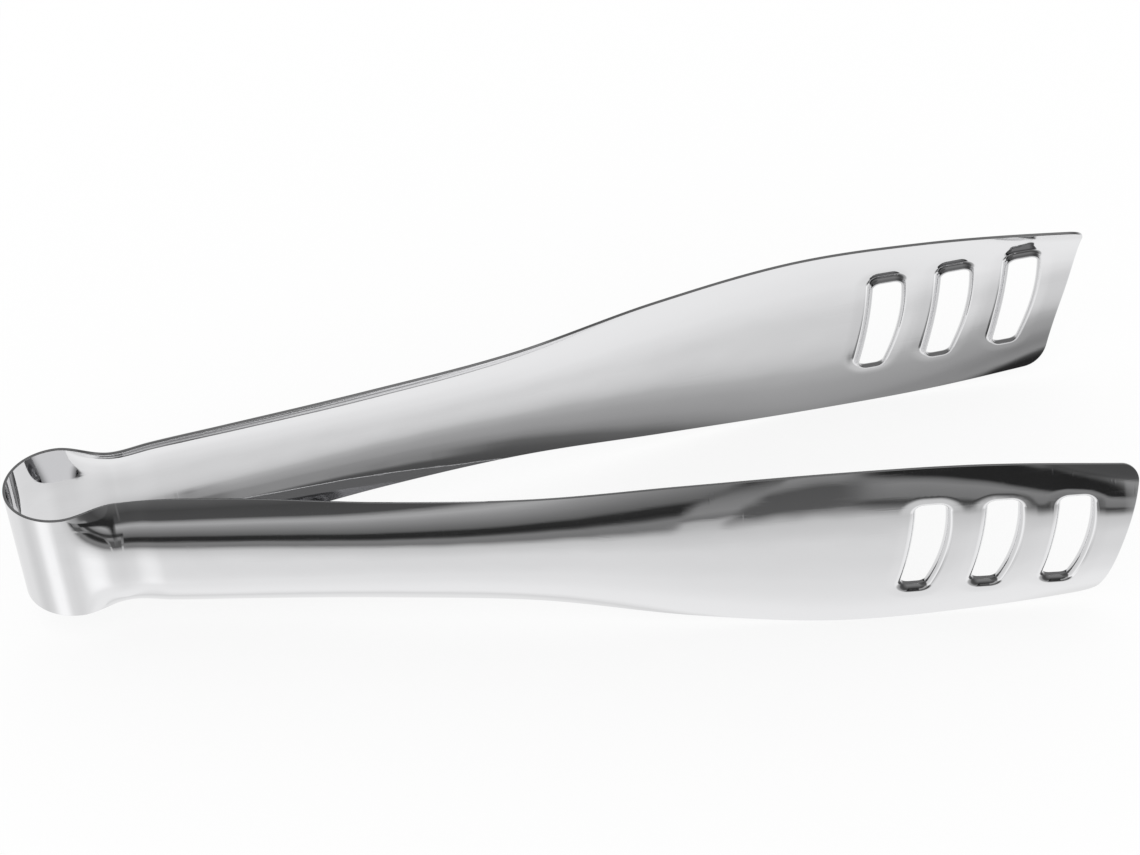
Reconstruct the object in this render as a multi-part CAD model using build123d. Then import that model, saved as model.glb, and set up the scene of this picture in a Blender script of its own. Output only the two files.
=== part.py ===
from build123d import *
import math
import os

# Barbecue tongs bent from one strip of polished stainless steel.
# X runs from the bow to the blades, Z across the strip, and the two arms
# mirror each other in the plane y = 0. All lengths are in millimetres.

# The sheet
SHEET = 0.8
STRIP_WIDTH = 43.2

# The spring bow, half an ellipse in plan
BOW_REACH = 14.9
BOW_HALF_GAP = 12.5

# The neck, where the strip turns back inwards before the arms
NECK_REACH = 14.5
NECK_HALF_GAP = 8.7

# The arm: a trough to hold, opening into a wide blade
ARM_REACH = 281.2
TIP_HALF_GAP = 40.3
HANDLE_TROUGH = 6.0
BLADE_WIDTH = 66.4

# The blade's end, which leans and bulges a little
END_LEAN = 13.0
END_BULGE = 2.2
UPPER_CORNER = 5.0
LOWER_CORNER = 8.0

# The drain slots and their drawn lips
SLOT_COUNT = 3
SLOT_PITCH = 19.1
SLOT_SETBACK = 14.3
SLOT_LENGTH = 35.4
SLOT_TOP_WIDTH = 7.8
SLOT_FOOT_WIDTH = 6.8
SLOT_LEAN = 5.2
SLOT_BULGE = 1.5
SLOT_BELLY = 0.55
SLOT_CORNER = 2.2
LIP_DEPTH = 2.5
LIP_RADIUS = 2.0

# How far a cutting tool runs past what it cuts, and how far the trimming
# die's rims stay clear of the sheet's own
OVERRUN = 2.0
DIE_CLEARANCE = 0.1

# How many sections the arm is lofted through, and how much closer they lie
# at the bow, where its shape changes fastest, than on average
SECTION_COUNT = 34
START_SPACING_SHARE = 0.3

# Stations along the arm, each a row of four shares:
# the way from neck to tip, the way the rims open from neck to tip,
# the trough's depth, and the way from strip width to blade width
station_shares = (
    (0.000, 0.000, 0.93, 0.00),
    (0.040, 0.034, 1.00, 0.08),
    (0.115, 0.120, 0.97, 0.09),
    (0.265, 0.332, 0.75, 0.00),
    (0.415, 0.528, 0.58, 0.10),
    (0.565, 0.735, 0.50, 0.64),
    (0.715, 0.890, 0.38, 0.98),
    (0.845, 0.949, 0.45, 0.91),
    (1.000, 1.000, 0.76, 0.48),
    (1.040, 1.008, 0.78, 0.34),
)


def chord_slope(column, low, high):
    """How fast a column of the station table changes between two rows."""
    rise = station_shares[high][column] - station_shares[low][column]
    return rise / (station_shares[high][0] - station_shares[low][0])


def row_slope(column, row):
    """A smooth slope through one row; the strip runs level at the neck."""
    last = len(station_shares) - 1
    if row == 0:
        return 0
    if row == last:
        return chord_slope(column, last - 1, last)
    before = station_shares[row][0] - station_shares[row - 1][0]
    after = station_shares[row + 1][0] - station_shares[row][0]
    lead = chord_slope(column, row, row + 1) * before
    trail = chord_slope(column, row - 1, row) * after
    return (lead + trail) / (before + after)


def arm_share(column, along):
    """A column of the station table at any share of the way to the tip."""
    row = 0
    while row < len(station_shares) - 2 and along > station_shares[row + 1][0]:
        row += 1
    span = station_shares[row + 1][0] - station_shares[row][0]
    step = (along - station_shares[row][0]) / span
    rest = 1 - step
    start = station_shares[row][column] * (1 + 2 * step) * rest**2
    finish = station_shares[row + 1][column] * (3 - 2 * step) * step**2
    leave = row_slope(column, row) * span * step * rest**2
    arrive = row_slope(column, row + 1) * span * rest * step**2
    return start + finish + leave - arrive


def station(reach):
    """Place, rim, trough depth and half width of the strip's section."""
    if reach < NECK_REACH:
        share = reach / NECK_REACH
        eased = share * share * (3 - 2 * share)
        rim = BOW_HALF_GAP + eased * (NECK_HALF_GAP - BOW_HALF_GAP)
        return reach, rim, eased * arm_share(2, 0) * HANDLE_TROUGH, STRIP_WIDTH / 2
    along = (reach - NECK_REACH) / (ARM_REACH - NECK_REACH)
    rim = NECK_HALF_GAP + arm_share(1, along) * (TIP_HALF_GAP - NECK_HALF_GAP)
    half_width = (STRIP_WIDTH + arm_share(3, along) * (BLADE_WIDTH - STRIP_WIDTH)) / 2
    return reach, rim, arm_share(2, along) * HANDLE_TROUGH, half_width


def section_curve(rim, trough, half_width, depth):
    """One face of the strip in section, a depth below its outer face."""
    if trough == 0:
        return Line((rim - depth, -half_width), (rim - depth, half_width))
    radius = (half_width**2 + trough**2) / (2 * trough)
    centre = rim + trough - radius
    shrink = (radius - depth) / radius
    edge = centre + (rim - centre) * shrink
    crest = centre + radius * shrink
    height = half_width * shrink
    return ThreePointArc((edge, -height), (crest, 0), (edge, height))


def strip_section(place, upper_depth, lower_depth):
    """The strip cut across at one place, between two depths in the sheet."""
    reach, rim, trough, half_width = station(place)
    outer = section_curve(rim, trough, half_width, upper_depth)
    inner = section_curve(rim, trough, half_width, lower_depth)
    low_end = Line(outer @ 0, inner @ 0)
    high_end = Line(outer @ 1, inner @ 1)
    plane = Plane(origin=(reach, 0, 0), x_dir=(0, 1, 0), z_dir=(1, 0, 0))
    return plane * make_face([outer, high_end, inner, low_end])


def section_places():
    """Where the sections lie, from the bow's widest line to past the tip."""
    past_tip = ARM_REACH + END_LEAN
    shares = [index / SECTION_COUNT for index in range(SECTION_COUNT + 1)]
    near = START_SPACING_SHARE
    return [past_tip * (near * share + (1 - near) * share**2) for share in shares]


def shell(upper_depth, lower_depth, places):
    """The arm's sheet between two depths below its outer face."""
    return loft([strip_section(place, upper_depth, lower_depth) for place in places])


def slot_outline(index, margin=0.0):
    """A leaning slot, wider at its top, bowed to the tip and a little bellied."""
    middle = ARM_REACH - SLOT_SETBACK - SLOT_BULGE - index * SLOT_PITCH
    half = SLOT_LENGTH / 2
    top_half = SLOT_TOP_WIDTH / 2
    foot_half = SLOT_FOOT_WIDTH / 2
    waist_half = (top_half + foot_half) / 2 + SLOT_BELLY
    head = middle + SLOT_LEAN / 2
    foot = middle - SLOT_LEAN / 2
    waist = middle + SLOT_BULGE
    left = ThreePointArc((foot - foot_half, -half), (waist - waist_half, 0), (head - top_half, half))
    top = Line(left @ 1, (head + top_half, half))
    right = ThreePointArc(top @ 1, (waist + waist_half, 0), (foot + foot_half, -half))
    bottom = Line(right @ 1, left @ 0)
    face = make_face([left, top, right, bottom])
    face = fillet(face.vertices(), SLOT_CORNER)
    return offset(face, margin) if margin else face


def through_blade(face):
    """A drawing in X and Z pushed through the whole rear arm."""
    reach = TIP_HALF_GAP + HANDLE_TROUGH + OVERRUN
    plane = Plane(origin=(0, 0, 0), x_dir=(1, 0, 0), z_dir=(0, -1, 0))
    return extrude(plane * face, -reach)


def outer_face_at(place, height):
    """How far the sheet's outer face lies from the middle plane."""
    reach, rim, trough, half_width = station(place)
    radius = (half_width**2 + trough**2) / (2 * trough)
    return rim + trough - radius + math.sqrt(radius**2 - height**2)


def lies_along(edge):
    """True for an edge that follows the sheet, not one that crosses it."""
    return abs((edge % 0.5).Y) < 0.5


def lies_outside(edge):
    """True for an edge on the sheet's outer face."""
    middle = edge @ 0.5
    return middle.Y > outer_face_at(middle.X, middle.Z) - SHEET / 2


def rim_arc(start, finish, side):
    """The sheet's upper or lower rim in side view, just clear of the sheet."""
    points = []
    for reach in (start, (start + finish) / 2, finish):
        points.append((reach, side * (station(reach)[3] + DIE_CLEARANCE)))
    return ThreePointArc(*points)


def end_outline():
    """The blade's end in side view, with its leaning edge and round corners."""
    half = BLADE_WIDTH / 2
    middle = ARM_REACH - END_BULGE
    start = ARM_REACH - END_LEAN - 2 * LOWER_CORNER
    past = ARM_REACH + END_LEAN
    lean = END_LEAN / 2
    edge = ThreePointArc((middle - lean, -half), (ARM_REACH, 0), (middle + lean, half))
    behind = Polyline(edge @ 1, (start, half), (start, -half), edge @ 0)
    low_rim = rim_arc(start, past, -1)
    high_rim = rim_arc(start, past, 1)
    across = Line(low_rim @ 1, high_rim @ 1)
    back = Line(high_rim @ 0, low_rim @ 0)
    face = make_face([edge, behind]) & make_face([low_rim, across, high_rim, back])
    tips = face.vertices().sort_by(Axis.X)[-2:]
    low_tip, high_tip = tips.sort_by(Axis.Y)
    face = fillet(low_tip, LOWER_CORNER)
    high_tip = face.vertices().sort_by_distance(high_tip)[0]
    return fillet(high_tip, UPPER_CORNER)


def end_cutter():
    """What the trimming die takes off round the blade's end."""
    outline = end_outline()
    start = outline.bounding_box().min.X
    length = ARM_REACH + END_LEAN + OVERRUN - start
    block = Pos(start + length / 2, 0) * Rectangle(length, 2 * BLADE_WIDTH)
    return through_blade(block - outline)


def draw_slot(arm, index):
    """A slot whose edge the press draws inwards to a smooth lip."""
    blade_places = [place for place in section_places() if place > ARM_REACH / 2]
    lip_wall = shell(SHEET / 2, LIP_DEPTH, blade_places)
    lip = lip_wall & through_blade(slot_outline(index, SHEET))
    drawn = arm + lip
    roots = [edge for edge in new_edges(arm, lip, combined=drawn) if lies_along(edge)]
    drawn = fillet(roots, LIP_RADIUS - SHEET)
    opening = through_blade(slot_outline(index))
    pierced = drawn - opening
    brims = [edge for edge in new_edges(drawn, combined=pierced) if lies_along(edge)]
    return fillet([edge for edge in brims if lies_outside(edge)], LIP_RADIUS)


def rear_arm():
    """Shoulder, neck, trough and slotted blade of the rear arm."""
    arm = shell(0, SHEET, section_places()) - end_cutter()
    for index in range(SLOT_COUNT):
        arm = draw_slot(arm, index)
    return arm


def spring_bow():
    """The half ring at the back that pushes the arms apart."""
    outer = Ellipse(BOW_REACH, BOW_HALF_GAP)
    inner = Ellipse(BOW_REACH - SHEET, BOW_HALF_GAP - SHEET)
    front_half = Pos(BOW_REACH / 2, 0) * Rectangle(BOW_REACH, 3 * BOW_HALF_GAP)
    band = outer - inner - front_half
    return extrude(band, STRIP_WIDTH / 2, both=True)


def build():
    arm = rear_arm()
    return {
        "spring_bow": spring_bow(),
        "front_arm": mirror(arm, about=Plane.XZ),
        "rear_arm": arm,
    }


os.makedirs("parts", exist_ok=True)
for name, piece in build().items():
    export_step(piece, f"parts/{name}.step")
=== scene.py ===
import math

import bpy
import numpy as np
from mathutils import Matrix
from mathutils.geometry import delaunay_2d_cdt


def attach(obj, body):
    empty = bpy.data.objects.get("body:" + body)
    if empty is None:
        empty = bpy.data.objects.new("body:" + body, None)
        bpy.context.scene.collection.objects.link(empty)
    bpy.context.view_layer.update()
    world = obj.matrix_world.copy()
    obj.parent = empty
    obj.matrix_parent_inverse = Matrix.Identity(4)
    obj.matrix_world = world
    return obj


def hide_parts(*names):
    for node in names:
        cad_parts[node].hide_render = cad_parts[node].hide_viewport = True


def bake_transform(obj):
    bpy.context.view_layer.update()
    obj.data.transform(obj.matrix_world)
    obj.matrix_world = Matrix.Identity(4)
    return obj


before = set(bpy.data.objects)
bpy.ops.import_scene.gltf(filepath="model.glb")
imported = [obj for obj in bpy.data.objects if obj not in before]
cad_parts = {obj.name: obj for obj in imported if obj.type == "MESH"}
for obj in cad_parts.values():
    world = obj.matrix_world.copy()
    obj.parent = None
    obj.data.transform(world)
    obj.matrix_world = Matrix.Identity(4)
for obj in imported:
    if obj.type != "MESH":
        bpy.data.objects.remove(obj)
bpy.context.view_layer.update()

# Barbecue tongs bent from one strip of polished steel. X runs from the bow to
# the blades, Z across the strip, and the arms mirror each other in y = 0.
# Lengths are in millimetres until a mesh is made.

# The sheet and its bow
SHEET = 0.8
RIM_ROUNDING = 0.22
STRIP_WIDTH = 43.2
BOW_REACH = 14.9
BOW_HALF_GAP = 12.5

# The neck and the arm
NECK_REACH = 14.5
NECK_HALF_GAP = 8.7
ARM_REACH = 281.2
TIP_HALF_GAP = 40.3
HANDLE_TROUGH = 6.0
BLADE_WIDTH = 66.4

# The blade's end
END_LEAN = 13.0
END_BULGE = 2.2
UPPER_CORNER = 5.0
LOWER_CORNER = 8.0

# The drain slots and their drawn lips
SLOT_COUNT = 3
SLOT_PITCH = 19.1
SLOT_SETBACK = 14.3
SLOT_LENGTH = 35.4
SLOT_TOP_WIDTH = 7.8
SLOT_FOOT_WIDTH = 6.8
SLOT_LEAN = 5.2
SLOT_BULGE = 1.5
SLOT_BELLY = 0.55
SLOT_CORNER = 2.2
LIP_DEPTH = 2.5
LIP_RADIUS = 2.0

# How flat the trough's web is: places along the arm, and there the power of the
# curve that its section follows
WEB_PLACES = (14, 100, 250, 281)
WEB_POWERS = (4.0, 3.05, 3.0, 3.5)

# How far from the bow the trough is fully formed
TROUGH_START = 13.8

# How deep and how far the press pulls the sheet down round each slot
DISH_DEPTH = 0.2
DISH_REACH = 5.0

# Stations along the arm, each a row of four shares:
# the way from neck to tip, the way the rims open from neck to tip,
# the trough's depth, and the way from strip width to blade width
station_shares = np.array(
    (
        (0.000, 0.000, 0.93, 0.00),
        (0.040, 0.034, 1.00, 0.08),
        (0.115, 0.120, 0.97, 0.09),
        (0.265, 0.332, 0.75, 0.00),
        (0.415, 0.528, 0.58, 0.10),
        (0.565, 0.735, 0.50, 0.64),
        (0.715, 0.890, 0.38, 0.98),
        (0.845, 0.949, 0.45, 0.91),
        (1.000, 1.000, 0.76, 0.48),
        (1.040, 1.008, 0.78, 0.34),
    )
)

# Mesh fineness: lengths between points, shares of the grid's pitch, and counts
GRID = 0.95
GRID_ROW_SHARE = 0.87
GRID_CLEARANCE_SHARE = 0.62
GRID_HALF_COUNT = 38
BOW_ROW_COUNT = 38
SLOT_SIDE_PITCH = 0.9
SLOT_CORNER_PITCH = 0.45
LOWER_CORNER_PITCH = 0.8
UPPER_CORNER_PITCH = 0.6
BRIM_STEPS = 8
RIM_STEPS = 3
BOW_STEPS = 32

# How far to each side a slope is measured, and how many points go in one block
FACE_NUDGE = 0.02
RIM_NUDGE = 0.01
BLOCK_SIZE = 2000

# How far past the rim the section's curve runs, as a share of the half width,
# and how far before the slots the sheet starts to look for them
PAST_RIM = 1.02
SLOT_LOOKOUT = 20

# Where the search for the blade's corners starts and ends, from the tip
CORNER_SEARCH = (-40, 10)
CORNER_HALVINGS = 60

MILLIMETRE = 0.001

# The camera, fitted to the object's edges in the photograph
CAMERA_ELEVATION = math.radians(52.141)
CAMERA_AZIMUTH = math.radians(-1.903)
CAMERA_ROLL = math.radians(-5.427)
CAMERA_DISTANCE = 1223.28
CAMERA_ASIDE = -3.012
CAMERA_RAISE = 11.564
FOCAL_PIXELS = 4496.5
PHOTO_WIDTH = 1140
SENSOR_WIDTH = 36
LOOKED_AT = np.array((140.0, 0.0, 0.0))

# What the studio shows in front of the object, from the left to the right. Each
# row is an elevation in degrees and a level: a white table that ends in a grey
# edge, a dark gap, a grey wall and the dark room above
STUDIO_LEFT = (
    (-57, 0.98),
    (-53, 0.90),
    (-48, 0.65),
    (-44, 0.20),
    (-40, 0.23),
    (-37, 0.05),
    (-35, 0.024),
    (-31, 0.03),
    (-28, 0.14),
    (-22, 0.21),
    (-14, 0.31),
    (-7, 0.44),
    (-3, 0.38),
    (3, 0.08),
    (20, 0.07),
    (60, 0.22),
)
# Left of the middle the wall's lower part shows under the dark
STUDIO_CORNER = (
    (-57, 0.98),
    (-53, 0.90),
    (-48, 0.65),
    (-43, 0.48),
    (-41, 0.19),
    (-38, 0.27),
    (-34, 0.24),
    (-31, 0.20),
    (-28, 0.13),
    (-25, 0.05),
    (-22, 0.035),
    (-18, 0.24),
    (-7, 0.44),
    (-3, 0.38),
    (3, 0.08),
    (60, 0.22),
)
# Nearer the middle the wall stands behind a wide dark gap
STUDIO_BETWEEN = (
    (-57, 0.98),
    (-53, 0.90),
    (-48, 0.65),
    (-45, 0.32),
    (-43, 0.11),
    (-35, 0.10),
    (-32, 0.22),
    (-29, 0.27),
    (-26, 0.06),
    (-22, 0.05),
    (-18, 0.24),
    (-7, 0.44),
    (-3, 0.38),
    (3, 0.08),
    (20, 0.07),
    (60, 0.22),
)
# Ahead the wall is missing, and the table's edge shows as a thin dark line
STUDIO_AHEAD = (
    (-57, 0.98),
    (-53, 0.90),
    (-48, 0.65),
    (-45, 0.18),
    (-43, 0.05),
    (-41, 0.20),
    (-35, 0.25),
    (-33, 0.18),
    (-31, 0.022),
    (-15, 0.02),
    (10, 0.025),
    (60, 0.22),
)
# To the right the table's far end fades softly into the room
STUDIO_RIGHT = (
    (-57, 0.98),
    (-53, 0.90),
    (-48, 0.65),
    (-45, 0.50),
    (-40, 0.41),
    (-33, 0.36),
    (-27, 0.28),
    (-21, 0.14),
    (-14, 0.10),
    (-6, 0.08),
    (10, 0.07),
    (60, 0.22),
)

# The elevations that the levels cover, above and below the horizon
STRIPE_SPAN = 70

# Azimuths in degrees, 0 straight in front and rising to the right, over which
# one part of the studio gives way to the next
LEFT_START = (-50, -32)
CORNER_START = (-12.4, -10.8)
BETWEEN_START = (-9.3, -8.1)
AHEAD_START = (-3, 1)
RIGHT_START = (6, 9)

# Levels low down and high up at the far left and behind, and the elevations over
# which they change
SIDE_LEVELS = (0.9, 0.1)
SIDE_CHANGE = (-25, -5)
BACK_LEVELS = (0.88, 0.16)
BACK_CHANGE = (-48, 12)

# The level of a grey panel, and how much brighter or darker other parts are
PANEL_LEVEL = 0.3
MIDDLE_DIMMING = 0.89
LAMP_BRIGHTENING = 1.28
FAR_LEFT_DIMMING = 0.84

# The ground under the object, in metres, and what it sends back
TABLE_HALF_SIZE = 1.2
TABLE_WHITE = 0.15
TABLE_GLOW = 0.85

# The steel: its colour, the depth of its relief and what roughens it
STEEL_COLOUR = (0.8, 0.8, 0.81, 1)
WAVE_DEPTH = 0.06
SCRATCH_DEPTH = 0.0012
POLISHED_ROUGHNESS = 0.025
HAZE_ROUGHNESS = 0.03
GRAIN_ROUGHNESS = 0.015
SCRATCH_ROUGHNESS = 0.04

# The steel's patterns: features per metre or so, and the span of the noise over
# which each pattern goes from nothing to full
WAVE_SCALE = 70
BRUSHED_SCALE = 900
BRUSHED_SPAN = (0.56, 0.74)
CROSSING_SCALE = 700
CROSSING_SPAN = (0.64, 0.78)
HAZE_SCALE = 45
HAZE_SPAN = (0.42, 0.72)
GRAIN_SCALE = 1400
GRAIN_SPAN = (0.35, 0.75)


def row_slopes():
    """A smooth slope through each row; the strip runs level at the neck."""
    gap = np.diff(station_shares[:, 0])[:, None]
    chord = np.diff(station_shares, axis=0) / gap
    inner = (chord[1:] * gap[:-1] + chord[:-1] * gap[1:]) / (gap[:-1] + gap[1:])
    return np.vstack([np.zeros(4), inner, chord[-1]])


ROW_SLOPES = row_slopes()


def arm_share(column, along):
    """A column of the station table at any shares of the way to the tip."""
    places = station_shares[:, 0]
    row = np.clip(np.searchsorted(places, along) - 1, 0, len(places) - 2)
    span = places[row + 1] - places[row]
    step = (along - places[row]) / span
    rest = 1 - step
    start = station_shares[row, column] * (1 + 2 * step) * rest**2
    finish = station_shares[row + 1, column] * (3 - 2 * step) * step**2
    leave = ROW_SLOPES[row, column] * span * step * rest**2
    arrive = ROW_SLOPES[row + 1, column] * span * rest * step**2
    return start + finish + leave - arrive


def smooth(low, high, value):
    """Rises smoothly from 0 at low to 1 at high."""
    share = np.clip((value - low) / (high - low), 0, 1)
    return share * share * (3 - 2 * share)


def station(reach):
    """Rim, trough depth and half width of the strip's section."""
    eased = smooth(0, NECK_REACH, reach)
    along = np.maximum((reach - NECK_REACH) / (ARM_REACH - NECK_REACH), 0)
    shoulder = BOW_HALF_GAP + eased * (NECK_HALF_GAP - BOW_HALF_GAP)
    arm = NECK_HALF_GAP + arm_share(1, along) * (TIP_HALF_GAP - NECK_HALF_GAP)
    rim = np.where(reach < NECK_REACH, shoulder, arm)
    trough = smooth(0, TROUGH_START, reach) * arm_share(2, along) * HANDLE_TROUGH
    half_width = (STRIP_WIDTH + arm_share(3, along) * (BLADE_WIDTH - STRIP_WIDTH)) / 2
    return rim, trough, half_width


def circle_through(first, middle, last):
    """Centre and radius of the circle through three points."""
    (ax, az), (bx, bz), (cx, cz) = first, middle, last
    double = 2 * (ax * (bz - cz) + bx * (cz - az) + cx * (az - bz))
    a2, b2, c2 = ax**2 + az**2, bx**2 + bz**2, cx**2 + cz**2
    x = (a2 * (bz - cz) + b2 * (cz - az) + c2 * (az - bz)) / double
    z = (a2 * (cx - bx) + b2 * (ax - cx) + c2 * (bx - ax)) / double
    return np.array((x, z)), math.hypot(ax - x, az - z)


def arc_points(centre, radius, start, finish, pitch):
    """Points on an arc and the directions out from its centre."""
    count = max(3, math.ceil(abs(finish - start) * radius / pitch))
    angles = np.linspace(start, finish, count + 1)
    out = np.stack([np.cos(angles), np.sin(angles)], axis=1)
    return centre + radius * out, out


def angle_of(vector):
    """A direction's angle."""
    return math.atan2(vector[1], vector[0])


def slot_ring(index):
    """A slot's outline, anticlockwise, and the directions out of the slot."""
    middle = ARM_REACH - SLOT_SETBACK - SLOT_BULGE - index * SLOT_PITCH
    half = SLOT_LENGTH / 2
    top_half = SLOT_TOP_WIDTH / 2
    foot_half = SLOT_FOOT_WIDTH / 2
    waist_half = (top_half + foot_half) / 2 + SLOT_BELLY
    head = middle + SLOT_LEAN / 2
    foot = middle - SLOT_LEAN / 2
    waist = middle + SLOT_BULGE
    sides = []
    for side in (-1, 1):
        low = (foot + side * foot_half, -half)
        mid = (waist + side * waist_half, 0)
        high = (head + side * top_half, half)
        centre, radius = circle_through(low, mid, high)
        corners = []
        for end in (-1, 1):
            z = end * (half - SLOT_CORNER)
            reach = radius - side * SLOT_CORNER
            x = centre[0] + math.sqrt(reach**2 - (z - centre[1]) ** 2)
            corners.append(np.array((x, z)))
        sides.append((centre, radius, corners))
    (left_centre, left_radius, left), (right_centre, right_radius, right) = sides
    points, outs = [], []

    def add(new_points, new_outs):
        """A run of points, except its last, with which the next run starts."""
        points.extend(new_points[:-1])
        outs.extend(new_outs[:-1])

    def corner(centre, start, finish):
        """One of the slot's rounded corners."""
        add(*arc_points(centre, SLOT_CORNER, start, finish, SLOT_CORNER_PITCH))

    down, up = -math.pi / 2, math.pi / 2
    low_right = angle_of(right[0] - right_centre)
    high_right = angle_of(right[1] - right_centre)
    high_left = angle_of(left[1] - left_centre)
    low_left = angle_of(left[0] - left_centre)
    corner(right[0], down, low_right)
    add(*arc_points(right_centre, right_radius, low_right, high_right, SLOT_SIDE_PITCH))
    corner(right[1], high_right, up)
    for x in np.linspace(right[1][0], left[1][0], 4)[:-1]:
        points.append(np.array((x, half)))
        outs.append(np.array((0.0, 1.0)))
    corner(left[1], up, high_left + math.pi)
    # The left side bulges into the slot, so away from its arc's centre is inwards
    left_arc = arc_points(left_centre, left_radius, high_left, low_left, SLOT_SIDE_PITCH)
    add(left_arc[0], -left_arc[1])
    corner(left[0], low_left + math.pi, 1.5 * math.pi)
    for x in np.linspace(left[0][0], right[0][0], 3)[:-1]:
        points.append(np.array((x, -half)))
        outs.append(np.array((0.0, -1.0)))
    return np.array(points), np.array(outs)


slot_rings = [slot_ring(index) for index in range(SLOT_COUNT)]


def blocks(numbers):
    """A long row of numbers in parts, so that the working arrays stay small."""
    return np.array_split(numbers, max(1, len(numbers) // BLOCK_SIZE))


def distance_to_slots(x, z):
    """How far points lie from the nearest slot's edge."""
    shape = np.shape(x)
    points = np.stack([np.ravel(x), np.ravel(z)], axis=1)
    nearest = np.full(len(points), math.inf)
    lookout = ARM_REACH - SLOT_COUNT * SLOT_PITCH - SLOT_LOOKOUT
    close = np.nonzero(points[:, 0] > lookout)[0]
    for ring, _ in slot_rings:
        along = np.roll(ring, -1, axis=0) - ring
        lengths = (along**2).sum(axis=1)
        for block in blocks(close):
            offset = points[block, None, :] - ring[None]
            share = np.clip((offset * along).sum(axis=2) / lengths, 0, 1)
            gap = np.linalg.norm(offset - share[..., None] * along, axis=2)
            nearest[block] = np.minimum(nearest[block], gap.min(axis=1))
    return nearest.reshape(shape)


def outer_face(x, z):
    """How far the sheet's outer face lies from the middle plane."""
    rim, trough, half = station(x)
    height = np.clip(np.abs(z) / half, 0, PAST_RIM)
    face = rim + trough * (1 - height ** np.interp(x, WEB_PLACES, WEB_POWERS))
    dish = DISH_DEPTH * (1 - smooth(0, DISH_REACH, distance_to_slots(x, z)))
    return face - dish


def face_points(x, z):
    """Points on the front arm's outer face and their outward normals."""
    points = np.stack([x, -outer_face(x, z), z], axis=1)
    rise_x = outer_face(x + FACE_NUDGE, z) - outer_face(x - FACE_NUDGE, z)
    rise_z = outer_face(x, z + FACE_NUDGE) - outer_face(x, z - FACE_NUDGE)
    slope_x = -rise_x / (2 * FACE_NUDGE)
    slope_z = -rise_z / (2 * FACE_NUDGE)
    normals = np.stack([slope_x, -np.ones_like(x), slope_z], axis=1)
    return points, normals / np.linalg.norm(normals, axis=1, keepdims=True)


def rim_slope(reach):
    """How fast the strip's half width grows along the arm."""
    return (station(reach + RIM_NUDGE)[2] - station(reach - RIM_NUDGE)[2]) / (2 * RIM_NUDGE)


def blade_outline():
    """The arm in side view, anticlockwise from the bow's lower end."""
    half = BLADE_WIDTH / 2
    middle = ARM_REACH - END_BULGE
    lean = END_LEAN / 2
    low_tip, high_tip = (middle - lean, -half), (middle + lean, half)
    centre, radius = circle_through(low_tip, (ARM_REACH, 0), high_tip)

    def corner(side, rounding):
        """Where a corner's rounding meets the rim, its centre, the rim's inward normal."""
        low, high = (ARM_REACH + offset for offset in CORNER_SEARCH)
        for _ in range(CORNER_HALVINGS):
            reach = (low + high) / 2
            slope = rim_slope(reach)
            normal = np.array((slope, -1.0)) / math.hypot(slope, 1)
            normal[1] *= side
            inward = np.array((reach, side * station(reach)[2])) + rounding * normal
            if radius - np.linalg.norm(inward - centre) > rounding:
                low = reach
            else:
                high = reach
        return reach, inward, normal

    low_reach, low_centre, low_normal = corner(-1, LOWER_CORNER)
    high_reach, high_centre, high_normal = corner(1, UPPER_CORNER)
    points, outs = [], []

    def rim(places, side):
        """Points along the upper or lower rim."""
        for reach in places:
            slope = rim_slope(reach)
            points.append(np.array((reach, side * station(reach)[2])))
            outs.append(np.array((-slope, side)) / math.hypot(slope, 1))

    def add(new_points, new_outs):
        """A run of points, except its last, with which the next run starts."""
        points.extend(new_points[:-1])
        outs.extend(new_outs[:-1])

    rim(np.linspace(0, low_reach, round(low_reach / GRID))[:-1], -1)
    low_end = angle_of(low_centre - centre)
    high_end = angle_of(high_centre - centre)
    low_start = angle_of(-low_normal)
    high_finish = angle_of(-high_normal)
    add(*arc_points(low_centre, LOWER_CORNER, low_start, low_end, LOWER_CORNER_PITCH))
    add(*arc_points(centre, radius, low_end, high_end, GRID))
    add(*arc_points(high_centre, UPPER_CORNER, high_end, high_finish, UPPER_CORNER_PITCH))
    rim(np.linspace(high_reach, 0, round(high_reach / GRID)), 1)
    return np.array(points), np.array(outs)


def inside(polygon, points):
    """True for each point inside a closed polygon."""
    hits = np.zeros(len(points), int)
    for (ax, az), (bx, bz) in zip(polygon, np.roll(polygon, -1, axis=0)):
        if az == bz:
            continue
        crosses = (points[:, 1] > min(az, bz)) & (points[:, 1] <= max(az, bz))
        at = ax + (points[:, 1] - az) / (bz - az) * (bx - ax)
        hits += crosses & (points[:, 0] < at)
    return hits % 2 == 1


def clear_of(points, others, gap):
    """True for each point at least a gap away from all the others."""
    free = np.ones(len(points), bool)
    for block in blocks(np.arange(len(points))):
        offset = points[block, None, :] - others[None]
        free[block] = (offset**2).sum(axis=2).min(axis=1) > gap**2
    return free


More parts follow.
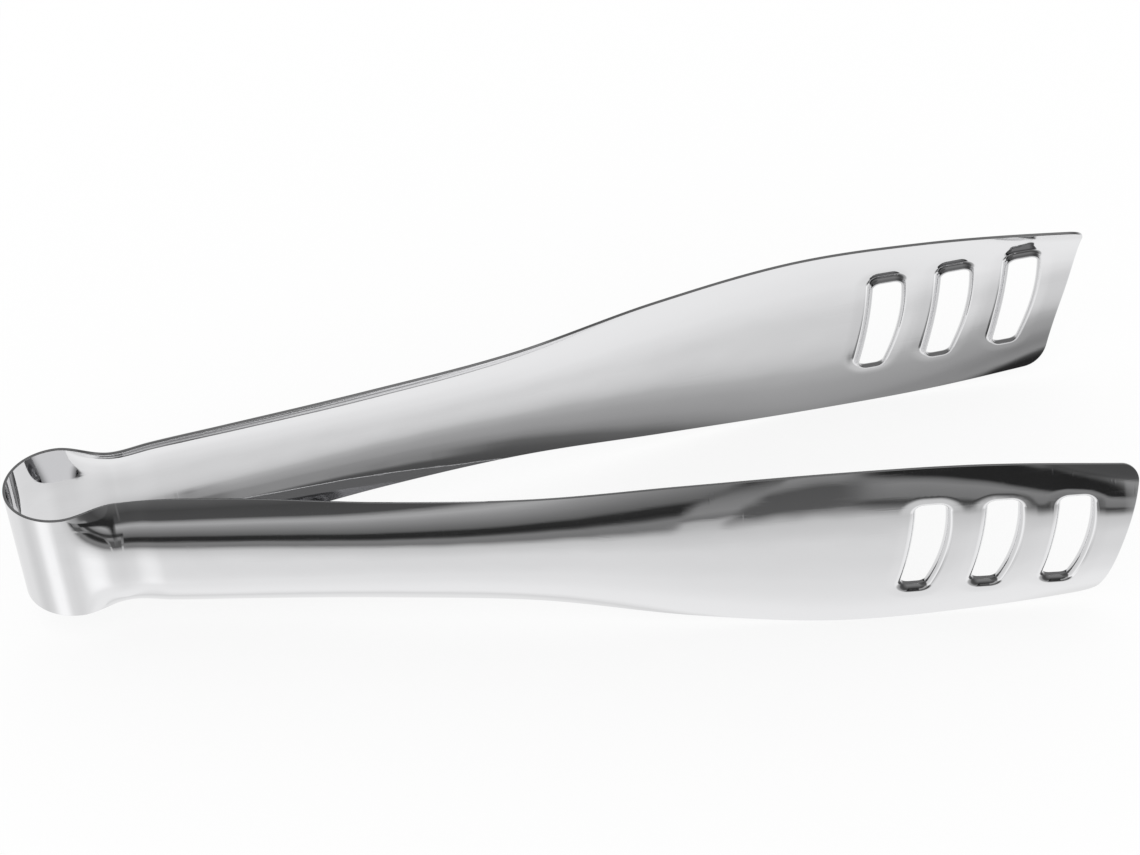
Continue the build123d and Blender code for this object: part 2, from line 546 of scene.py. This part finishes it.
class Solid:
    """Vertices, faces and vertex normals collected for one mesh."""

    def __init__(self):
        self.points = []
        self.normals = []
        self.faces = []
        self.count = 0

    def add(self, points, normals):
        """New vertices; gives back their numbers."""
        self.points.append(np.asarray(points, float))
        self.normals.append(np.asarray(normals, float))
        first = self.count
        self.count += len(points)
        return np.arange(first, self.count)

    def strip(self, first, second, closed=True):
        """Quads between two rows; from outside, the second lies left of the first."""
        last = len(first) if closed else len(first) - 1
        for index in range(last):
            after = (index + 1) % len(first)
            self.faces.append((first[index], first[after], second[after], second[index]))

    def make(self, name, mirrored=False):
        """The object, with smooth shading from the given normals."""
        points = np.concatenate(self.points) * MILLIMETRE
        normals = np.concatenate(self.normals)
        faces = [tuple(int(corner) for corner in face) for face in self.faces]
        if mirrored:
            points = points * (1, -1, 1)
            normals = normals * (1, -1, 1)
            faces = [face[::-1] for face in faces]
        mesh = bpy.data.meshes.new(name)
        mesh.from_pydata([tuple(point) for point in points], [], faces)
        mesh.shade_smooth()
        lengths = np.linalg.norm(normals, axis=1, keepdims=True)
        mesh.normals_split_custom_set_from_vertices([tuple(row) for row in normals / lengths])
        mesh.update()
        piece = bpy.data.objects.new(name, mesh)
        bpy.context.scene.collection.objects.link(piece)
        return piece


def edge_rows(solid, points, normals, outs, outer_row, inner_row, around_slot):
    """The sheet's rounded edge, from the outer layer's row to the inner one's."""
    flat = SHEET - 2 * RIM_ROUNDING
    rows = [outer_row]
    for turn in np.linspace(0, math.pi / 2, RIM_STEPS + 1)[1:]:
        place = points + RIM_ROUNDING * (math.sin(turn) * outs - (1 - math.cos(turn)) * normals)
        rows.append(solid.add(place, math.cos(turn) * normals + math.sin(turn) * outs))
    for turn in np.linspace(math.pi / 2, math.pi, RIM_STEPS + 1)[:-1]:
        fall = RIM_ROUNDING * (1 - math.cos(turn)) + flat
        place = points + RIM_ROUNDING * math.sin(turn) * outs - fall * normals
        rows.append(solid.add(place, math.cos(turn) * normals + math.sin(turn) * outs))
    rows.append(inner_row)
    for first, second in zip(rows, rows[1:]):
        if around_slot:
            solid.strip(first, second)
        else:
            solid.strip(second, first, closed=False)
    return rows


def grid_places(border, brims):
    """Places inside the border and outside the slots, and clear of both."""
    grid = []
    for number, x in enumerate(np.arange(GRID, ARM_REACH + END_LEAN, GRID * GRID_ROW_SHARE)):
        shift = 0.5 * (number % 2)
        for step in range(-GRID_HALF_COUNT, GRID_HALF_COUNT):
            grid.append((x, (step + shift) * GRID))
    places = np.array(grid)
    places = places[inside(border, places)]
    for brim in brims:
        places = places[~inside(brim, places)]
    fixed = np.concatenate([border, *brims])
    return places[clear_of(places, fixed, GRID_CLEARANCE_SHARE * GRID)]


def sheet_triangles(places, border, brims):
    """Triangles between the places, inside the border and outside the slots."""
    edges = []
    first = 0
    for loop in (border, *brims):
        numbers = list(range(first, first + len(loop)))
        edges.extend(zip(numbers, numbers[1:] + numbers[:1]))
        first += len(loop)
    made = delaunay_2d_cdt([tuple(place) for place in places], edges, [], 0, 1e-6)
    assert len(made[0]) == len(places)
    triangles = np.array(made[2])
    centres = places[triangles].mean(axis=1)
    keep = inside(border, centres)
    for brim in brims:
        keep &= ~inside(brim, centres)
    triangles = triangles[keep]
    u = places[triangles[:, 1]] - places[triangles[:, 0]]
    v = places[triangles[:, 2]] - places[triangles[:, 0]]
    backward = u[:, 0] * v[:, 1] - u[:, 1] * v[:, 0] < 0
    triangles[backward] = triangles[backward][:, ::-1]
    return triangles


def add_rim(solid, points, normals, flat_outs, outer_row, inner_row):
    """The long rims and the blade's end, from the bow's low end to its high end."""
    outs = np.stack([flat_outs[:, 0], np.zeros(len(points)), flat_outs[:, 1]], axis=1)
    outs = outs - (outs * normals).sum(axis=1, keepdims=True) * normals
    outs /= np.linalg.norm(outs, axis=1, keepdims=True)
    outs[0] = (0, 0, -1)
    outs[-1] = (0, 0, 1)
    return edge_rows(solid, points, normals, outs, outer_row, inner_row, False)


def close_bow_end(solid, rim_rows, outer_edge, inner_edge):
    """The cut where the arm meets the bow."""
    low_edge = [row[0] for row in rim_rows]
    high_edge = [row[-1] for row in rim_rows]
    around = high_edge[:1] + outer_edge + low_edge + inner_edge[::-1] + high_edge[:0:-1]
    everything = np.concatenate(solid.points)
    cap = solid.add(everything[around], np.tile((-1.0, 0.0, 0.0), (len(around), 1)))
    solid.faces.append(tuple(cap[::-1]))


def add_lip(solid, ring, out, outer_row, inner_row):
    """A slot's brim and lip, from the sheet's two layers inwards."""
    towards = np.stack([-out[:, 0], np.zeros(len(out)), -out[:, 1]], axis=1)
    outer_rows, inner_rows = [outer_row], [inner_row]
    turns = list(np.linspace(0, math.pi / 2, BRIM_STEPS + 1)[1:])
    falls = [LIP_RADIUS * (1 - math.cos(turn)) for turn in turns]
    asides = [LIP_RADIUS * (1 - math.sin(turn)) for turn in turns]
    turns.append(math.pi / 2)
    falls.append(LIP_DEPTH - RIM_ROUNDING)
    asides.append(0.0)
    for turn, fall, aside in zip(turns, falls, asides):
        place = ring + aside * out
        points, normals = face_points(place[:, 0], place[:, 1])
        points = points + (0, fall, 0)
        normals = math.cos(turn) * normals + math.sin(turn) * towards
        normals /= np.linalg.norm(normals, axis=1, keepdims=True)
        outer_rows.append(solid.add(points, normals))
        inner_rows.append(solid.add(points - SHEET * normals, -normals))
    for one, two in zip(outer_rows, outer_rows[1:]):
        solid.strip(one, two)
    for one, two in zip(inner_rows, inner_rows[1:]):
        solid.strip(two, one)
    inwards = np.tile((0.0, 1.0, 0.0), (len(ring), 1))
    edge_rows(solid, points, normals, inwards, outer_rows[-1], inner_rows[-1], True)


def arm_solid():
    """The front arm's sheet with its trough, blade and lipped slots."""
    outline, outline_outs = blade_outline()
    tilt = face_points(outline[:, 0], outline[:, 1])[1][:, 1]
    # The outer layer ends where the rim's rounding starts
    pulled = outline - RIM_ROUNDING * np.abs(tilt)[:, None] * outline_outs
    pulled[0, 0] = pulled[-1, 0] = 0
    across = np.linspace(pulled[-1, 1], pulled[0, 1], BOW_ROW_COUNT)[1:-1]
    bow_row = np.stack([np.zeros_like(across), across], axis=1)
    border = np.concatenate([pulled, bow_row])
    brims = [ring + LIP_RADIUS * out for ring, out in slot_rings]
    places = np.concatenate([border, *brims, grid_places(border, brims)])
    triangles = sheet_triangles(places, border, brims)

    solid = Solid()
    points, normals = face_points(places[:, 0], places[:, 1])
    outer = solid.add(points, normals)
    inner = solid.add(points - SHEET * normals, -normals)
    solid.faces.extend(map(tuple, outer[triangles]))
    solid.faces.extend(map(tuple, inner[triangles][:, ::-1]))

    rim = slice(0, len(pulled))
    rim_rows = add_rim(solid, points[rim], normals[rim], outline_outs, outer[rim], inner[rim])
    bow = slice(len(pulled), len(border))
    close_bow_end(solid, rim_rows, list(outer[bow]), list(inner[bow]))
    first = len(border)
    for (ring, out), brim in zip(slot_rings, brims):
        around = slice(first, first + len(brim))
        first += len(brim)
        add_lip(solid, ring, out, outer[around], inner[around])
    return solid


def bow_solid(start, finish):
    """Part of the half ring at the back, between two angles round it."""
    solid = Solid()
    flat = STRIP_WIDTH / 2 - RIM_ROUNDING
    # The section's lower half: depth in the sheet, height, and the normal's two parts
    bottom = [(0, -flat, 1, 0)]
    quarter = np.linspace(0, math.pi / 2, RIM_STEPS + 1)
    for turn in quarter[1:]:
        across, down = math.cos(turn), math.sin(turn)
        bottom.append((RIM_ROUNDING * (1 - across), -flat - RIM_ROUNDING * down, across, -down))
    for turn in quarter:
        down, across = math.cos(turn), math.sin(turn)
        fall = SHEET - RIM_ROUNDING * (1 - across)
        bottom.append((fall, -flat - RIM_ROUNDING * down, -across, -down))
    top = [(fall, -height, out, -lift) for fall, height, out, lift in bottom[::-1]]
    rows = []
    for turn in np.linspace(start, finish, BOW_STEPS + 1):
        cosine, sine = math.cos(turn), math.sin(turn)
        outer = np.array((BOW_REACH * cosine, BOW_HALF_GAP * sine))
        within = np.array(((BOW_REACH - SHEET) * cosine, (BOW_HALF_GAP - SHEET) * sine))
        normal = np.array((BOW_HALF_GAP * cosine, BOW_REACH * sine))
        normal /= np.linalg.norm(normal)
        points = []
        normals = []
        for fall, height, out, lift in bottom + top:
            x, y = outer + (within - outer) * fall / SHEET
            points.append((x, y, height))
            normals.append((out * normal[0], out * normal[1], lift))
        rows.append(solid.add(points, normals))
    for first, second in zip(rows, rows[1:]):
        solid.strip(first, second)
    for row, side in ((rows[0], -1), (rows[-1], 1)):
        turn = start if side < 0 else finish
        tangent = np.array((-BOW_REACH * math.sin(turn), BOW_HALF_GAP * math.cos(turn), 0))
        tangent = side * tangent / np.linalg.norm(tangent)
        everything = np.concatenate(solid.points)
        cap = solid.add(everything[row], np.tile(tangent, (len(row), 1)))
        solid.faces.append(tuple(cap if side > 0 else cap[::-1]))
    return solid


def make_camera():
    """The camera at the photograph's viewpoint."""
    cosine, sine = math.cos(CAMERA_AZIMUTH), math.sin(CAMERA_AZIMUTH)
    flat = math.cos(CAMERA_ELEVATION)
    back = np.array((sine * flat, -cosine * flat, math.sin(CAMERA_ELEVATION)))
    level = np.array((cosine, sine, 0.0))
    upright = np.cross(back, level)
    right = math.cos(CAMERA_ROLL) * level + math.sin(CAMERA_ROLL) * upright
    up = math.cos(CAMERA_ROLL) * upright - math.sin(CAMERA_ROLL) * level
    place = LOOKED_AT + right * CAMERA_ASIDE + up * CAMERA_RAISE + back * CAMERA_DISTANCE
    data = bpy.data.cameras.new("camera")
    data.sensor_width = SENSOR_WIDTH
    data.lens = FOCAL_PIXELS / PHOTO_WIDTH * SENSOR_WIDTH
    data.clip_start = 0.05
    data.clip_end = 50
    camera = bpy.data.objects.new("camera", data)
    turned = Matrix([right, up, back]).transposed().to_4x4()
    camera.matrix_world = Matrix.Translation(place * MILLIMETRE) @ turned
    bpy.context.scene.collection.objects.link(camera)
    bpy.context.scene.camera = camera


class Nodes:
    """A short way to write a node tree's maths."""

    def __init__(self, tree):
        self.tree = tree
        tree.nodes.clear()

    def new(self, kind, **settings):
        """A new node with its settings."""
        node = self.tree.nodes.new(kind)
        for name, value in settings.items():
            setattr(node, name, value)
        return node

    def link(self, source, target):
        """Joins an output to an input."""
        self.tree.links.new(source, target)

    def feed(self, sockets, values):
        """Sets each input to its number, or joins it to its output."""
        for socket, value in zip(sockets, values):
            if isinstance(value, (int, float)):
                socket.default_value = value
            else:
                self.link(value, socket)

    def maths(self, operation, *values):
        """The result of one operation."""
        node = self.new("ShaderNodeMath", operation=operation)
        self.feed(node.inputs, values)
        return node.outputs[0]

    def step(self, value, low, high):
        """Goes smoothly from 0 at low to 1 at high; low may be the greater."""
        node = self.new("ShaderNodeMapRange", interpolation_type="SMOOTHSTEP")
        self.link(value, node.inputs["Value"])
        node.inputs["From Min"].default_value = low
        node.inputs["From Max"].default_value = high
        return node.outputs["Result"]

    def mix(self, factor, first, second):
        """From first to second by factor."""
        node = self.new("ShaderNodeMix", data_type="FLOAT")
        self.feed([node.inputs[number] for number in (0, 2, 3)], (factor, first, second))
        return node.outputs[0]


def stripes(nodes, elevation, levels):
    """Grey levels by elevation."""
    ramp = nodes.new("ShaderNodeValToRGB")
    share = nodes.maths("DIVIDE", nodes.maths("ADD", elevation, STRIPE_SPAN), 2 * STRIPE_SPAN)
    nodes.link(share, ramp.inputs[0])
    tones = ramp.color_ramp.elements
    while len(tones) < len(levels):
        tones.new(0.5)
    for tone, (height, level) in zip(tones, levels):
        tone.position = (height + STRIPE_SPAN) / (2 * STRIPE_SPAN)
        tone.color = (level, level, level, 1)
    return ramp.outputs[0]


def make_world():
    """White to the camera, and the studio's stripes to what the steel reflects."""
    world = bpy.data.worlds.new("studio")
    bpy.context.scene.world = world
    world.use_nodes = True
    nodes = Nodes(world.node_tree)
    place = nodes.new("ShaderNodeTexCoord")
    parts = nodes.new("ShaderNodeSeparateXYZ")
    nodes.link(place.outputs["Generated"], parts.inputs[0])
    x, y, z = parts.outputs
    degrees = 180 / math.pi
    towards = nodes.maths("MULTIPLY", y, -1)
    elevation = nodes.maths("MULTIPLY", nodes.maths("ARCSINE", z), degrees)
    azimuth = nodes.maths("MULTIPLY", nodes.maths("ARCTAN2", x, towards), degrees)

    def region(*edges):
        """1 inside soft edges, each an angle with where it gives 0 and where 1."""
        share = 1
        for angle, outside, within in edges:
            share = nodes.maths("MULTIPLY", share, nodes.step(angle, outside, within))
        return share

    def scaled(light, share, factor):
        """The light times a factor, where the share is 1."""
        return nodes.maths("MULTIPLY", light, nodes.mix(share, 1.0, factor))

    # Something grey stands to the right, just beside the dark gap
    right = stripes(nodes, elevation, STUDIO_RIGHT)
    panel = region((elevation, -32, -27), (elevation, -10, -16), (azimuth, 16, 9))
    right = nodes.mix(panel, right, PANEL_LEVEL)
    # From the far left to the right
    front = nodes.mix(nodes.step(elevation, *SIDE_CHANGE), *SIDE_LEVELS)
    for start, levels in (
        (LEFT_START, STUDIO_LEFT),
        (CORNER_START, STUDIO_CORNER),
        (BETWEEN_START, STUDIO_BETWEEN),
        (AHEAD_START, STUDIO_AHEAD),
    ):
        front = nodes.mix(nodes.step(azimuth, *start), front, stripes(nodes, elevation, levels))
    front = nodes.mix(nodes.step(azimuth, *RIGHT_START), front, right)
    # The table dims towards the middle, where the camera stands
    middle = region((azimuth, -40, -4), (azimuth, 34, 2))
    low_down = region((elevation, -72, -56), (elevation, -47, -52))
    front = scaled(front, nodes.maths("MULTIPLY", middle, low_down), MIDDLE_DIMMING)
    # A lamp's patch of light lies on the table to the left, and beyond it the table dims
    patch = region((azimuth, -62, -42), (azimuth, -20, -36), (elevation, -60, -54))
    front = scaled(front, patch, LAMP_BRIGHTENING)
    front = scaled(front, nodes.step(azimuth, -48, -75), FAR_LEFT_DIMMING)
    backdrop = nodes.mix(nodes.step(elevation, *BACK_CHANGE), *BACK_LEVELS)
    light = nodes.mix(nodes.step(y, -0.15, 0.15), front, backdrop)
    path = nodes.new("ShaderNodeLightPath")
    shown = nodes.mix(path.outputs["Is Glossy Ray"], 1.0, light)
    background = nodes.new("ShaderNodeBackground")
    colour = nodes.new("ShaderNodeCombineColor")
    for socket in colour.inputs:
        nodes.link(shown, socket)
    nodes.link(colour.outputs[0], background.inputs["Color"])
    out = nodes.new("ShaderNodeOutputWorld")
    nodes.link(background.outputs[0], out.inputs["Surface"])


def make_floor(low):
    """A white ground, as bright as the white behind it."""
    size = TABLE_HALF_SIZE
    mesh = bpy.data.meshes.new("ground")
    corners = [(-size, -size, low), (size, -size, low), (size, size, low), (-size, size, low)]
    mesh.from_pydata(corners, [], [(0, 1, 2, 3)])
    ground = bpy.data.objects.new("ground", mesh)
    bpy.context.scene.collection.objects.link(ground)
    material = bpy.data.materials.new("ground white")
    material.use_nodes = True
    nodes = Nodes(material.node_tree)
    white = nodes.new("ShaderNodeBsdfDiffuse")
    white.inputs["Color"].default_value = (TABLE_WHITE, TABLE_WHITE, TABLE_WHITE, 1)
    glow = nodes.new("ShaderNodeEmission")
    glow.inputs["Strength"].default_value = TABLE_GLOW
    lit = nodes.new("ShaderNodeAddShader")
    nodes.link(white.outputs[0], lit.inputs[0])
    nodes.link(glow.outputs[0], lit.inputs[1])
    # Reflections pass through to the studio's table below
    clear = nodes.new("ShaderNodeBsdfTransparent")
    path = nodes.new("ShaderNodeLightPath")
    shown = nodes.new("ShaderNodeMixShader")
    nodes.link(path.outputs["Is Glossy Ray"], shown.inputs[0])
    nodes.link(lit.outputs[0], shown.inputs[1])
    nodes.link(clear.outputs[0], shown.inputs[2])
    out = nodes.new("ShaderNodeOutputMaterial")
    nodes.link(shown.outputs[0], out.inputs["Surface"])
    mesh.materials.append(material)


def steel():
    """Polished stainless steel with faint scratches, smudges and waves."""
    material = bpy.data.materials.new("polished steel")
    material.use_nodes = True
    nodes = Nodes(material.node_tree)
    place = nodes.new("ShaderNodeTexCoord").outputs["Object"]

    def noise(scale, detail, stretch=(1, 1, 1), turn=0):
        """Noise in the object's metres, stretched along one direction."""
        mapping = nodes.new("ShaderNodeMapping")
        nodes.link(place, mapping.inputs["Vector"])
        mapping.inputs["Rotation"].default_value = (0, turn, 0)
        mapping.inputs["Scale"].default_value = stretch
        texture = nodes.new("ShaderNodeTexNoise")
        nodes.link(mapping.outputs[0], texture.inputs["Vector"])
        texture.inputs["Scale"].default_value = scale
        texture.inputs["Detail"].default_value = detail
        return texture.outputs["Fac"]

    def bump(height, depth, base=None):
        """A relief, its depth in millimetres."""
        node = nodes.new("ShaderNodeBump")
        node.inputs["Distance"].default_value = depth * MILLIMETRE
        nodes.link(height, node.inputs["Height"])
        if base is not None:
            nodes.link(base, node.inputs["Normal"])
        return node.outputs[0]

    # The press leaves the sheet slightly wavy
    waves = bump(noise(WAVE_SCALE, 1), WAVE_DEPTH)
    # The polishing wheel ran along the strip, and use added crossing scratches
    brushed = nodes.step(noise(BRUSHED_SCALE, 2, (0.03, 1, 1)), *BRUSHED_SPAN)
    crossing = nodes.step(noise(CROSSING_SCALE, 2, (1, 1, 0.04), 0.6), *CROSSING_SPAN)
    scratches = nodes.maths("ADD", brushed, crossing)
    relief = bump(scratches, SCRATCH_DEPTH, waves)
    # Smudges and a faint haze make the polish uneven
    haze = nodes.step(noise(HAZE_SCALE, 3), *HAZE_SPAN)
    grain = nodes.step(noise(GRAIN_SCALE, 2), *GRAIN_SPAN)
    rough = POLISHED_ROUGHNESS
    for pattern, amount in (
        (haze, HAZE_ROUGHNESS),
        (grain, GRAIN_ROUGHNESS),
        (scratches, SCRATCH_ROUGHNESS),
    ):
        rough = nodes.maths("ADD", rough, nodes.maths("MULTIPLY", pattern, amount))
    metal = nodes.new("ShaderNodeBsdfPrincipled")
    metal.inputs["Metallic"].default_value = 1
    metal.inputs["Base Color"].default_value = STEEL_COLOUR
    nodes.link(rough, metal.inputs["Roughness"])
    nodes.link(relief, metal.inputs["Normal"])
    out = nodes.new("ShaderNodeOutputMaterial")
    nodes.link(metal.outputs[0], out.inputs["Surface"])
    return material


make_camera()
make_world()
make_floor(-0.5 * BLADE_WIDTH * MILLIMETRE)
polished = steel()

arm = arm_solid()
front_arm = arm.make("front_arm_sheet")
rear_arm = arm.make("rear_arm_sheet", mirrored=True)
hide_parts("front_arm")
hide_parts("rear_arm")
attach(front_arm, "front")
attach(rear_arm, "rear")

# The bow is made as two halves that meet at its crown, each reaching to its arm's hinge; they
# take the place of the model's bow
front_bow = bow_solid(math.pi, 1.5 * math.pi).make("spring_bow_front")
rear_bow = bow_solid(0.5 * math.pi, math.pi).make("spring_bow_rear")
for piece, body, side in ((front_bow, "front", -1), (rear_bow, "rear", 1)):
    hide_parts("spring_bow")
    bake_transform(piece)

for piece in (front_arm, rear_arm, front_bow, rear_bow):
    piece.data.materials.append(polished)

bpy.context.scene.view_settings.view_transform = "Standard"
